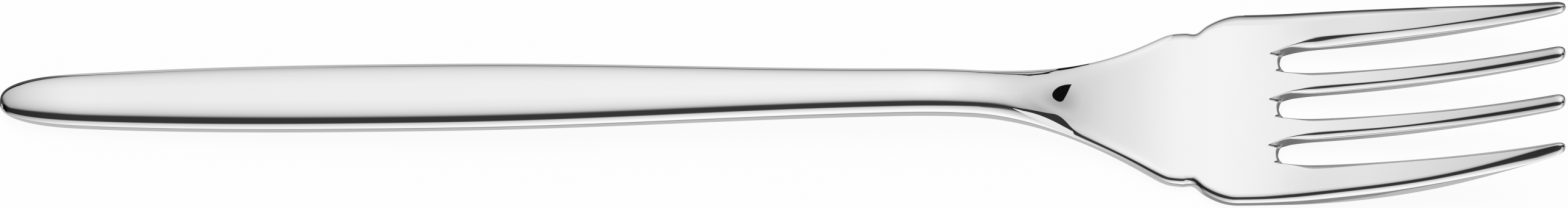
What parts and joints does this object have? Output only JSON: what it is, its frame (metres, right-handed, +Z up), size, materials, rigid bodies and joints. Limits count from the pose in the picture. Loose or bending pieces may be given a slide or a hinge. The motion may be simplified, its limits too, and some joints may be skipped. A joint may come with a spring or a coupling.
{
  "type": "fish fork",
  "caption": "Polished steel fish fork with a slim oval handle, a raised neck, notched shoulders and long tapered tines that sweep upward.",
  "frame": {"origin": "on the table, under the middle of the fork's length and width", "axes": "+X along the fork from the butt of the handle to the tine tips, +Y to the left seen from the butt, +Z up from the table"},
  "size_m": [0.19, 0.0262, 0.0099],
  "materials": {
    "polished_steel": "polished"
  },
  "bodies": {
    "root": {"handle": "polished_steel", "neck": "polished_steel", "head": "polished_steel", "outer_tine_left": "polished_steel", "inner_tine_left": "polished_steel", "inner_tine_right": "polished_steel", "outer_tine_right": "polished_steel"}
  },
  "joints": []
}
